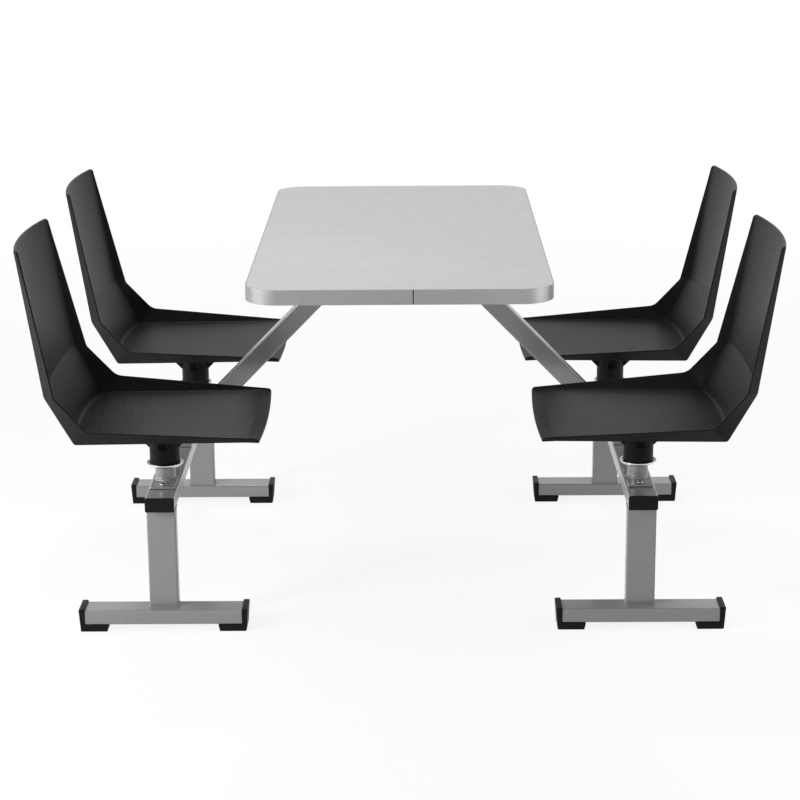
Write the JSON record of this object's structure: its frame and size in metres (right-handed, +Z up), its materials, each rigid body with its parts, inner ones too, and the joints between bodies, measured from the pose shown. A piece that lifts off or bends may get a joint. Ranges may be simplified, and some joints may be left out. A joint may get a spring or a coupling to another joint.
{
  "type": "table with attached swivel seats",
  "caption": "Long canteen table on a steel frame with folded plastic seats that swivel on posts along both sides.",
  "frame": {"origin": "on the floor, under the middle of the table", "axes": "+X across the two seat rows, +Y along the table, +Z up"},
  "size_m": [1.5396, 1.2, 0.811],
  "materials": {
    "seat_plastic": "fine moulded grain, satin black",
    "hub_plastic": "smooth satin black",
    "cap_plastic": "moulded black plastic",
    "frame_paint": "silver grey satin powder coat",
    "bright_steel": "bright turned and pressed steel",
    "zinc_screws": "zinc plated",
    "bush_nylon": "natural nylon",
    "board": "pressed wood board",
    "laminate": "light grey laminate with a fine fleck",
    "edge_band": "silver grey brushed edge strip"
  },
  "bodies": {
    "frame": {"beam_caps_left": "cap_plastic", "beam_caps_right": "cap_plastic", "bearing_cup_front_left": "bright_steel", "bearing_cup_front_right": "bright_steel", "bearing_cup_rear_left": "bright_steel", "bearing_cup_rear_right": "bright_steel", "cross_tie_front": "frame_paint", "cross_tie_rear": "frame_paint", "edge_band": "edge_band", "foot_bar_front_left": "frame_paint", "foot_bar_front_right": "frame_paint", "foot_bar_rear_left": "frame_paint", "foot_bar_rear_right": "frame_paint", "foot_caps_front_left": "cap_plastic", "foot_caps_front_right": "cap_plastic", "foot_caps_rear_left": "cap_plastic", "foot_caps_rear_right": "cap_plastic", "laminate_top": "laminate", "post_screws": "zinc_screws", "seat_post_front_left": "frame_paint", "seat_post_front_right": "frame_paint", "seat_post_rear_left": "frame_paint", "seat_post_rear_right": "frame_paint", "side_beam_left": "frame_paint", "side_beam_right": "frame_paint", "spindle_bolts": "zinc_screws", "spindle_front_left": "bright_steel", "spindle_front_right": "bright_steel", "spindle_rear_left": "bright_steel", "spindle_rear_right": "bright_steel", "spindle_washers": "zinc_screws", "strut_left": "frame_paint", "strut_plate_left": "frame_paint", "strut_plate_right": "frame_paint", "strut_right": "frame_paint", "strut_screws": "zinc_screws", "table_core": "board", "table_screws": "zinc_screws", "top_rail_left": "frame_paint", "top_rail_right": "frame_paint", "upright_front_left": "frame_paint", "upright_front_right": "frame_paint", "upright_rear_left": "frame_paint", "upright_rear_right": "frame_paint"},
    "seat_front_left": {"seat_shell_front_left": "seat_plastic", "swivel_hub_front_left": "hub_plastic", "hub_screws_front_left": "zinc_screws", "swivel_bush_front_left": "bush_nylon"},
    "seat_rear_left": {"seat_shell_rear_left": "seat_plastic", "swivel_hub_rear_left": "hub_plastic", "hub_screws_rear_left": "zinc_screws", "swivel_bush_rear_left": "bush_nylon"},
    "seat_front_right": {"seat_shell_front_right": "seat_plastic", "swivel_hub_front_right": "hub_plastic", "hub_screws_front_right": "zinc_screws", "swivel_bush_front_right": "bush_nylon"},
    "seat_rear_right": {"seat_shell_rear_right": "seat_plastic", "swivel_hub_rear_right": "hub_plastic", "hub_screws_rear_right": "zinc_screws", "swivel_bush_rear_right": "bush_nylon"}
  },
  "joints": [
    {"name": "swivel_front_left", "type": "hinge", "parent": "frame", "child": "seat_front_left", "pos_m": [-0.493, -0.33, 0.36], "axis": [0, 0, 1], "range_deg": [-85, 85]},
    {"name": "swivel_rear_left", "type": "hinge", "parent": "frame", "child": "seat_rear_left", "pos_m": [-0.493, 0.33, 0.36], "axis": [0, 0, 1], "range_deg": [-85, 85]},
    {"name": "swivel_front_right", "type": "hinge", "parent": "frame", "child": "seat_front_right", "pos_m": [0.493, -0.33, 0.36], "axis": [0, 0, 1], "range_deg": [-85, 85]},
    {"name": "swivel_rear_right", "type": "hinge", "parent": "frame", "child": "seat_rear_right", "pos_m": [0.493, 0.33, 0.36], "axis": [0, 0, 1], "range_deg": [-85, 85]}
  ]
}
